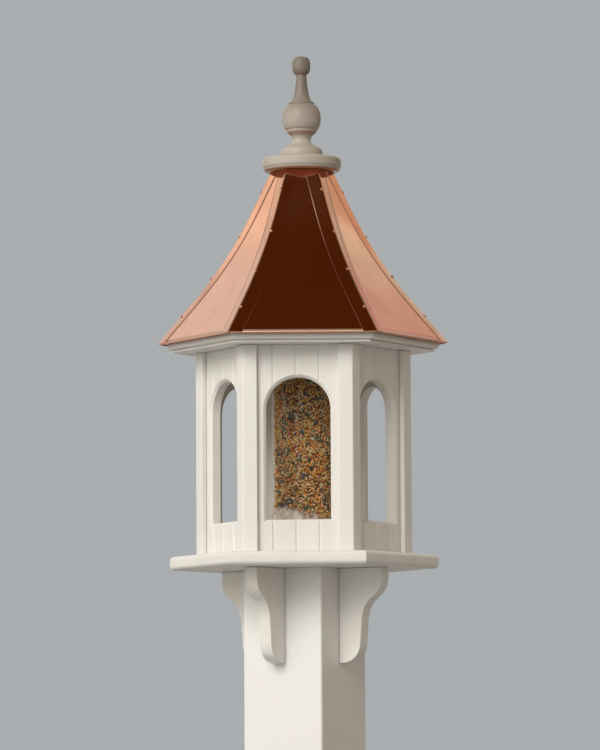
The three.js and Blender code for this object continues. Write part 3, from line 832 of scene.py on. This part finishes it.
def kernel(levels, shape):
    """A unit seed: a sphere whose points are moved by a function, as points and faces."""
    made = bmesh.new()
    bmesh.ops.create_icosphere(made, subdivisions=levels, radius=1.0)
    points = [shape(v.co.copy()) for v in made.verts]
    faces = [tuple(v.index for v in f.verts) for f in made.faces]
    made.free()
    return points, faces


def oval(co):
    return co


def teardrop(co):
    """Blunt at one end and pointed at the other, along X."""
    taper = 1.0 - 0.45 * max(0.0, co.x) ** 1.5
    return Vector((co.x, co.y * taper, co.z * taper))


def chip(co):
    """A broken grain with flat breaks."""
    return Vector((max(-0.7, min(0.8, co.x)), max(-0.65, min(0.9, co.y)), max(-0.6, co.z)))


def scatter(name, count, size, kernel_mesh, material, rng, low=None, high=None, tilt=0.35, depth=2.2):
    """Seeds laid against the tube's wall, each with its own place, turn and size.

    size is the half length, half width and half thickness in millimetres.
    """
    shape, shape_faces = kernel_mesh
    low = SEED_LOW.z if low is None else low
    high = SEEN_TOP if high is None else high
    points, faces = [], []
    for _ in range(count):
        grow = rng.uniform(0.82, 1.18)
        half = [s * MM * grow * rng.uniform(0.9, 1.1) for s in size]
        angle = rng.uniform(0, 2 * math.pi)
        radius = SEED_RADIUS - half[2] * 1.25 - rng.random() ** 1.6 * depth * MM
        z = rng.uniform(low + half[0], high - half[0])
        spin = Matrix.Rotation(rng.uniform(0, 2 * math.pi), 3, "Z")
        lean = Euler((rng.gauss(0, tilt), rng.gauss(0, tilt), 0)).to_matrix()
        outward = Vector((math.cos(angle), math.sin(angle), 0))
        face = outward.to_track_quat("Z", "Y").to_matrix()
        turn = face @ lean @ spin
        centre = Vector((outward.x * radius, outward.y * radius, z))
        start = len(points)
        stretch = Matrix.Diagonal(half)
        place = turn @ stretch
        for co in shape:
            p = place @ co + centre
            reach = math.hypot(p.x, p.y)
            if reach > SEED_RADIUS:
                p.x *= SEED_RADIUS / reach
                p.y *= SEED_RADIUS / reach
            points.append(p)
        faces += [tuple(start + v for v in f) for f in shape_faces]
    mesh = mesh_from(name, points, faces)
    mesh.shade_smooth()
    return finish_piece(name, mesh, material)


def seed_core():
    """The mass of seed in the tube's middle: a lumpy column resting on the deflector."""
    sides, rings = 48, 90
    radius = SEED_RADIUS - 3.2 * MM
    points, faces = [], []
    for r in range(rings + 1):
        z = SEED_LOW.z + 2 * MM + (SEED_HIGH.z - 4 * MM - SEED_LOW.z) * r / rings
        cone = max(0.0, 1 - (z - SEED_LOW.z) / 0.004)
        for k in range(sides):
            angle = 2 * math.pi * k / sides
            lump = noise.noise(Vector((math.cos(angle) * 6, math.sin(angle) * 6, z * 190)))
            rr = radius + 0.9 * MM * lump - cone * 2 * MM
            points.append((rr * math.cos(angle), rr * math.sin(angle), z))
    for r in range(rings):
        for k in range(sides):
            a = r * sides + k
            b = r * sides + (k + 1) % sides
            faces.append((a, b, b + sides, a + sides))
    faces.append(tuple(reversed(range(sides))))
    faces.append(tuple(rings * sides + k for k in range(sides)))
    mesh = mesh_from("seed_core", points, faces)
    mesh.shade_smooth()
    core = finish_piece("seed_core", mesh, seed_mass())
    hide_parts("seed_fill")


def build_seed():
    rng = random.Random(11)
    round_seed = kernel(1, oval)
    fine_seed = kernel(2, teardrop)
    broken = kernel(1, chip)
    millet = husk(
        "millet_husk",
        (0.74, 0.27, 0.05),
        (0.95, 0.50, 0.14),
        (0.99, 0.76, 0.34),
        (1.00, 0.88, 0.56),
        (0.96, 0.62, 0.24),
        (0.84, 0.34, 0.08),
        (0.44, 0.13, 0.03),
    )
    milo = husk(
        "milo_husk",
        (0.30, 0.05, 0.02),
        (0.55, 0.13, 0.04),
        (0.66, 0.20, 0.07),
        (0.18, 0.04, 0.02),
    )
    corn = husk(
        "corn_chips",
        (0.95, 0.32, 0.02),
        (0.96, 0.46, 0.05),
        (0.82, 0.22, 0.02),
        (0.97, 0.62, 0.22),
    )
    pale = husk("safflower_husk", (0.80, 0.70, 0.58), (0.68, 0.55, 0.42), (0.86, 0.80, 0.70))
    bits = husk(
        "dyed_bits",
        (0.70, 0.10, 0.26),
        (0.07, 0.30, 0.10),
        (0.05, 0.28, 0.22),
        (0.86, 0.22, 0.02),
        (0.10, 0.34, 0.08),
    )
    seed_core()
    middle = (SEED_LOW.z + SEEN_TOP) / 2
    grain = (1.08, 0.95, 0.85)
    scatter("millet_low", 7800, grain, round_seed, millet, rng, high=middle + 3 * MM)
    scatter("millet_high", 7800, grain, round_seed, millet, rng, low=middle - 3 * MM)
    scatter("milo", 2200, (1.6, 1.4, 1.2), round_seed, milo, rng, depth=1.6)
    scatter("cracked_corn", 900, (1.9, 1.5, 1.2), broken, corn, rng, depth=1.4)
    scatter("safflower", 300, (2.6, 1.5, 1.3), fine_seed, pale, rng, depth=1.2)
    scatter("sunflower", 300, (4.2, 2.2, 0.95), fine_seed, sunflower_husk(), rng, depth=0.5, tilt=0.06)
    scatter("dyed_bits", 330, (1.9, 1.4, 0.85), broken, bits, rng, depth=0.3, tilt=0.1)


# ---- Stage ----------------------------------------------------------------------------

def direction(azimuth, elevation):
    """A unit vector: azimuth 0 is towards the camera (-Y) and 90 towards +X, in degrees."""
    a, e = math.radians(azimuth), math.radians(elevation)
    return Vector((math.sin(a) * math.cos(e), -math.cos(a) * math.cos(e), math.sin(e)))


def add_camera():
    data = bpy.data.cameras.new("camera")
    data.lens = CAMERA_LENS
    data.sensor_width = 36
    data.clip_end = 100
    camera = bpy.data.objects.new("camera", data)
    yaw = Matrix.Rotation(math.radians(CAMERA_YAW), 4, "Z")
    pitch = Matrix.Rotation(math.radians(90 + CAMERA_PITCH), 4, "X")
    roll = Matrix.Rotation(math.radians(CAMERA_ROLL), 4, "Z")
    place = Matrix.Translation((0, -CAMERA_DISTANCE, TRAY_TOP - CAMERA_DROP))
    camera.matrix_world = place @ yaw @ pitch @ roll
    bpy.context.scene.collection.objects.link(camera)
    bpy.context.scene.camera = camera


def add_softbox(name, azimuth, elevation, distance, size, power, colour):
    data = bpy.data.lights.new(name, "AREA")
    data.shape = "DISK"
    data.size = size
    data.energy = power
    data.color = colour
    light = bpy.data.objects.new(name, data)
    light.visible_glossy = False
    target = Vector((0, 0, TRAY_TOP + 0.1))
    light.location = target + direction(azimuth, elevation) * distance
    light.rotation_euler = (target - light.location).to_track_quat("-Z", "Y").to_euler()
    bpy.context.scene.collection.objects.link(light)


def add_world():
    """Soft glows that fill the studio, a dark canopy above the front, and a plain backdrop."""
    world = bpy.data.worlds.new("studio")
    bpy.context.scene.world = world
    world.use_nodes = True
    tree = world.node_tree
    tree.nodes.clear()
    way = tree.nodes.new("ShaderNodeTexCoord").outputs["Generated"]

    def zone(aim, inner, outer):
        """1 within the inner radius of a direction, 0 outside the outer one."""
        dot = tree.nodes.new("ShaderNodeVectorMath")
        dot.operation = "DOT_PRODUCT"
        tree.links.new(way, dot.inputs[0])
        dot.inputs[1].default_value = direction(*aim)
        fade = tree.nodes.new("ShaderNodeMapRange")
        fade.interpolation_type = "SMOOTHSTEP"
        fade.inputs["From Min"].default_value = math.cos(math.radians(min(outer, 180)))
        fade.inputs["From Max"].default_value = math.cos(math.radians(min(inner, 179)))
        tree.links.new(dot.outputs["Value"], fade.inputs["Value"])
        return fade.outputs[0]

    def blend(kind, factor, below, above):
        mixed = tree.nodes.new("ShaderNodeMix")
        mixed.data_type = "RGBA"
        mixed.blend_type = kind
        mixed.clamp_result = False
        tree.links.new(factor, mixed.inputs[0])
        for socket, value in ((mixed.inputs[6], below), (mixed.inputs[7], above)):
            if isinstance(value, bpy.types.NodeSocket):
                tree.links.new(value, socket)
            else:
                socket.default_value = (*value, 1)
        return mixed.outputs[2]

    colour = (0.0, 0.0, 0.0)
    for aim, inner, outer, tint in GLOWS:
        colour = blend("ADD", zone(aim, inner, outer), colour, tint)
    aim, inner, outer, tint = CANOPY
    colour = blend("MIX", zone(aim, inner, outer), colour, tint)
    seen = tree.nodes.new("ShaderNodeLightPath").outputs["Is Camera Ray"]
    colour = blend("MIX", seen, colour, BACKDROP)
    background = tree.nodes.new("ShaderNodeBackground")
    tree.links.new(colour, background.inputs["Color"])
    output = tree.nodes.new("ShaderNodeOutputWorld")
    tree.links.new(background.outputs[0], output.inputs["Surface"])


def add_floor():
    mesh = mesh_from("floor", [(-9, -9, 0), (9, -9, 0), (9, 9, 0), (-9, 9, 0)], [(0, 1, 2, 3)])
    mesh.transform(Matrix.Translation((0, 0, -0.0005)))
    floor = bpy.data.objects.new("floor", mesh)
    mesh.materials.append(pale_floor())
    bpy.context.scene.collection.objects.link(floor)


def build_stage():
    add_camera()
    add_world()
    add_floor()
    for softbox in SOFTBOXES:
        add_softbox(*softbox)
    bpy.context.scene.view_settings.view_transform = "Standard"


build_stage()
build_boards()
build_eave_board()
build_cap()
dress_hidden_nodes()
build_roof()
build_seed()
